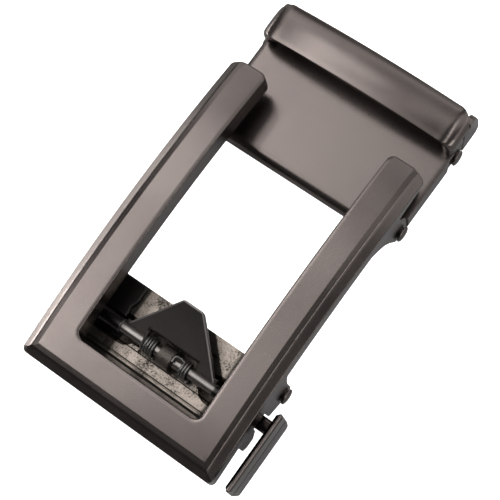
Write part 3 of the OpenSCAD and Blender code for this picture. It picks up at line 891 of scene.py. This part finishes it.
def keeper_stations():
    """Outer point and inner point of each section of the loop, and how upright it is."""
    crown_radius = (KEEPER_HALF_WIDTH ** 2 + KEEPER_DROP ** 2) / (2 * KEEPER_DROP)
    shoulder_y = KEEPER_HALF_WIDTH - KEEPER_SHOULDER[0]

    def crown(y):
        return KEEPER_TOP - crown_radius + sqrt(crown_radius ** 2 - y ** 2)

    shoulder_z = crown(shoulder_y) - KEEPER_SHOULDER[1]
    inner_corner = (KEEPER_OPENING - OPENING_ROUND, KEEPER_UNDER - OPENING_ROUND)
    stations = [((FRAME_HALF_WIDTH, z), (KEEPER_OPENING, z), 1.0)
                for z in (LEG_FOOT_Z, LEG_STEP_Z - LEG_STEP, LEG_STEP_Z)]
    for step in range(SHOULDER_STEPS + 1):
        turn = radians(90 * step / SHOULDER_STEPS)
        outer = (shoulder_y + KEEPER_SHOULDER[0] * cos(turn),
                 shoulder_z + KEEPER_SHOULDER[1] * sin(turn))
        inner = (inner_corner[0] + OPENING_ROUND * cos(turn),
                 inner_corner[1] + OPENING_ROUND * sin(turn))
        stations.append((outer, inner, cos(turn) ** 2))
    for step in range(1, CROWN_STEPS + 1):
        y = shoulder_y * (1 - step / CROWN_STEPS)
        stations.append(((y, crown(y)), (y * UNDERSIDE_SHARE, KEEPER_UNDER), 0.0))
    mirrored = [((-outer[0], outer[1]), (-inner[0], inner[1]), upright)
                for outer, inner, upright in reversed(stations[:-1])]
    return stations + mirrored


def keeper_section(station):
    """Places along X and depths under the outer face of one section; None is its inside."""
    (outer_y, outer_z), _, upright = station
    front, back = KEEPER_X
    past = max(abs(outer_y) - (KEEPER_HALF_WIDTH - KEEPER_CORNER_BACK), 0)
    back -= KEEPER_CORNER_BACK - sqrt(max(KEEPER_CORNER_BACK ** 2 - past ** 2, 0))
    above_step = outer_z > LEG_STEP_Z - LEG_STEP / 2
    back = max(back, LEG_UPPER_BACK_X) if above_step else LEG_BACK_X
    crown = KEEPER_CROWN * (1 - upright)
    front_edge = FRONT_EDGE[0] + (FRONT_EDGE[1] - FRONT_EDGE[0]) * upright
    back_edge = BACK_EDGE[0] + (BACK_EDGE[1] - BACK_EDGE[0]) * upright
    start, end = front + front_edge, back - back_edge
    points = [(front + KEEPER_UNDERCUT, None)]
    points += arc((start, crown + front_edge), front_edge, 180, 270, 6)
    for step in range(1, SECTION_STEPS):
        along = start + (end - start) * step / SECTION_STEPS
        share = (2 * along - front - back) / (back - front)
        points.append((along, crown * share ** 2))
    points += arc((end, crown + back_edge), back_edge, 270, 360, 6)
    return points + [(back, None)]


def keeper_loop(bm):
    """The loop as a rounded section carried from one foot over the strap to the other."""
    def place(vertices, station):
        outer, inner = (Vector(point) for point in station[:2])
        inward = (inner - outer).normalized()
        for vertex, (along, depth) in zip(vertices, keeper_section(station)):
            point = inner if depth is None else outer + inward * depth
            vertex.co = (along, point.x, point.y)

    stations = keeper_stations()
    ring, edges = closed_wire(bm, [(0, 0, 0)] * len(keeper_section(stations[0])))
    first_edges = edges
    place(ring, stations[0])
    for station in stations[1:]:
        ring, edges = extrude_ring(bm, edges)
        place(ring, station)
    bmesh.ops.holes_fill(bm, edges=first_edges + edges, sides=0)


plate_under = END_TOP - PLATE_THICKNESS
# The barrel runs on under the plate to where it meets the plate's underside
barrel_end = 360 + degrees(asin((plate_under - BARREL[1]) / BARREL_RADIUS))
plate_profile = (
    [(PLATE_END_X, END_TOP)] + arc(BARREL, BARREL_RADIUS, 90, barrel_end, 28)
    + [(PLATE_END_X, plate_under)]
)
wall_outline = (
    [(WALL_START_X, END_TOP)]
    + arc(HINGE_PIN, 2.3, 0, -40, 4)
    + [(61.5, -13.6987), (65.8, END_FLOOR), (67.6, END_FLOOR), (67.9, -12.8487)]
    + arc(JAW_PIN, 1.55, 200, 330)
    + [(LEG_BACK_X, END_TOP)]
)
housing = bmesh.new()
slab(housing, plate_profile, -PLATE_INNER_Y, PLATE_INNER_Y)
widen_plate(housing)
for side in (-1, 1):
    side_wall(housing, wall_outline, side)
keeper_loop(housing)
housing_piece = to_object(housing, "hinged_end", gunmetal)
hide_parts("clamp_housing")
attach(housing_piece, "clamp")

# Strap jaw: a zinc floor with a row of teeth that bite the strap's end, and two cheeks that
# close against the hinged end. It swings on its two pins. Plated with the frame.
JAW_START_X = 72.3
JAW_END_X = 77.3
JAW_SLOPE_X = 76.4
JAW_SLOPE_Z = -13.1487
JAW_FLOOR_TOP = -12.9487
JAW_FLOOR_HALF_WIDTH = 18.9
CHEEK_INNER_Y = 18.7
CHEEK_EDGE = 0.18
JAW_EDGE = 0.12
JAW_LUG_Y = (16.4, 18.1)
TOOTH_COUNT = 9
TEETH_WIDTH = 35
TOOTH_EDGE = 0.08
cheek_outline = [
    (71.95, -13.6487), (JAW_START_X, END_FLOOR), (JAW_SLOPE_X, END_FLOOR),
    (JAW_END_X, JAW_SLOPE_Z), (JAW_END_X, END_TOP), (76.8, -8.15), (76.1, -7.45), (74.8, -7.45),
    (74.8, -8.6487), (73.1, -8.6487)]
floor_outline = [
    (JAW_START_X, END_FLOOR), (JAW_SLOPE_X, END_FLOOR), (JAW_END_X, JAW_SLOPE_Z),
    (JAW_END_X, JAW_FLOOR_TOP), (JAW_START_X, JAW_FLOOR_TOP)]
jaw_lug_outline = (
    arc(JAW_PIN, 1.4, 160, 275, 10)
    + [(72.8, -13.9987), (72.8, -12.449), (70.9, -11.7)]
    + arc(JAW_PIN, 1.4, 60, 150, 6)
)
tooth_outline = [(73.1, -13.1487), (73.9, -12.1487), (74.7, -13.1487)]
jaw = bmesh.new()
for side in (-1, 1):
    slab(jaw, cheek_outline, side * CHEEK_INNER_Y, side * FRAME_HALF_WIDTH, CHEEK_EDGE)
slab(jaw, floor_outline, -JAW_FLOOR_HALF_WIDTH, JAW_FLOOR_HALF_WIDTH, JAW_EDGE)
for near, far in ((-JAW_LUG_Y[1], -JAW_LUG_Y[0]), JAW_LUG_Y):
    slab(jaw, jaw_lug_outline, near, far, JAW_EDGE)
tooth_pitch = TEETH_WIDTH / TOOTH_COUNT
for index in range(TOOTH_COUNT):
    middle_y = (index + 0.5) * tooth_pitch - TEETH_WIDTH / 2
    slab(jaw, tooth_outline, middle_y - tooth_pitch / 3, middle_y + tooth_pitch / 3, TOOTH_EDGE)
jaw_piece = to_object(jaw, "jaw_casting", gunmetal)
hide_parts("clamp_jaw")
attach(jaw_piece, "jaw")

# Studio: a plain white floor, softboxes all round the buckle and the camera at the
# photograph's view. The floor is hidden from the metal's reflections, and a grey card that
# the camera doesn't see lies on it for them.
FLOOR_SIZE = 3.0
FLOOR_TONE = 0.9
FLOOR_GLOW = 0.9
CARD_TONE = 0.45
CARD_GLOW = 0.08
CARD_HEIGHT = 0.00002
SHEET_ROUGHNESS = 0.7
ROOM_GLOW = 0.1
WHITE = (1.0, 1.0, 1.0, 1.0)
SOFTBOX_DISTANCE = 0.8
VIEW_TARGET = Vector((-0.00375, -0.002118, 0.0140487))
VIEW_AZIMUTH = -117.827
VIEW_ELEVATION = 72.035
VIEW_ROLL = -27.342
VIEW_DISTANCE = 0.258
LENS_MM = 112.905
SENSOR_MM = 36.0
NEAREST_SEEN = 0.01
# Each softbox as seen from the buckle: its azimuth, elevation, width and height in degrees,
# and how bright it is
softboxes = (
    (90, 64, 44, 5, 9.0),
    (88, 72, 45, 9, 1.9),
    (60, 82, 40, 8, 1.7),
    (52, 27, 20, 50, 0.8),
    (125, 54, 26, 12, 4.0),
    (-80, 55, 34, 5, 7.0),
    (-115, 49, 16, 10, 3.5),
    (-54, 30, 24, 60, 1.15),
    (-96, 9, 34, 10, 6.0),
    (-66, 4, 30, 14, 1.2),
    (84, 3, 18, 8, 10.0),
    (104, 3, 22, 8, 24.0),
    (-22, 20, 20, 14, 3.0),
    (-13, 7, 40, 14, 2.4),
    (20, 50, 50, 12, 1.7),
    (0, 66, 30, 12, 0.8),
    (140, 71, 16, 8, 0.7),
    (165, 80, 14, 10, 1.2),
    (50, 70, 12, 6, 2.6),
)


def matt_sheet(name, height, tone, glow):
    """A level sheet under the buckle: its colour and how brightly it shines by itself."""
    sheet = bmesh.new()
    bmesh.ops.create_grid(sheet, x_segments=2, y_segments=2, size=FLOOR_SIZE / 2)
    bmesh.ops.translate(sheet, verts=sheet.verts, vec=(0, 0, height))
    mesh = bpy.data.meshes.new(name)
    sheet.to_mesh(mesh)
    sheet.free()
    mesh.materials.append(Finish(name).shade(
        Base_Color=(tone, tone, tone, 1.0), Roughness=SHEET_ROUGHNESS, Emission_Color=WHITE,
        Emission_Strength=glow))
    piece = bpy.data.objects.new(name, mesh)
    bpy.context.scene.collection.objects.link(piece)
    return piece


def direction(azimuth, elevation):
    """Unit vector from the buckle outward, from two angles in degrees."""
    level = cos(radians(elevation))
    return Vector((level * cos(radians(azimuth)), level * sin(radians(azimuth)),
                   sin(radians(elevation))))


studio_floor = matt_sheet("studio_floor", 0.0, FLOOR_TONE, FLOOR_GLOW)
studio_floor.visible_glossy = False
grey_card = matt_sheet("grey_card", CARD_HEIGHT, CARD_TONE, CARD_GLOW)
grey_card.visible_camera = False
grey_card.visible_shadow = False

world = bpy.data.worlds.new("studio_room")
world.use_nodes = True
world.node_tree.nodes["Background"].inputs["Color"].default_value = WHITE
world.node_tree.nodes["Background"].inputs["Strength"].default_value = ROOM_GLOW
bpy.context.scene.world = world

for azimuth, elevation, width, height, brightness in softboxes:
    name = "softbox_%d_%d" % (elevation, azimuth % 360)
    light = bpy.data.lights.new(name, "AREA")
    light.shape = "RECTANGLE"
    light.size = 2 * SOFTBOX_DISTANCE * tan(radians(width / 2))
    light.size_y = 2 * SOFTBOX_DISTANCE * tan(radians(height / 2))
    light.energy = pi * light.size * light.size_y * brightness
    lamp = bpy.data.objects.new(name, light)
    away = direction(azimuth, elevation)
    lamp.rotation_mode = "QUATERNION"
    lamp.rotation_quaternion = away.to_track_quat("Z", "Y")
    lamp.location = away * SOFTBOX_DISTANCE
    bpy.context.scene.collection.objects.link(lamp)

camera_data = bpy.data.cameras.new("photo_view")
camera_data.lens = LENS_MM
camera_data.sensor_width = SENSOR_MM
camera_data.clip_start = NEAREST_SEEN
camera = bpy.data.objects.new("photo_view", camera_data)
away = direction(VIEW_AZIMUTH, VIEW_ELEVATION)
camera.rotation_mode = "QUATERNION"
camera.rotation_quaternion = (
    away.to_track_quat("Z", "Y") @ Quaternion((0, 0, 1), radians(VIEW_ROLL)))
camera.location = VIEW_TARGET + away * VIEW_DISTANCE
bpy.context.scene.collection.objects.link(camera)
bpy.context.scene.camera = camera
bpy.context.scene.view_settings.view_transform = "Standard"
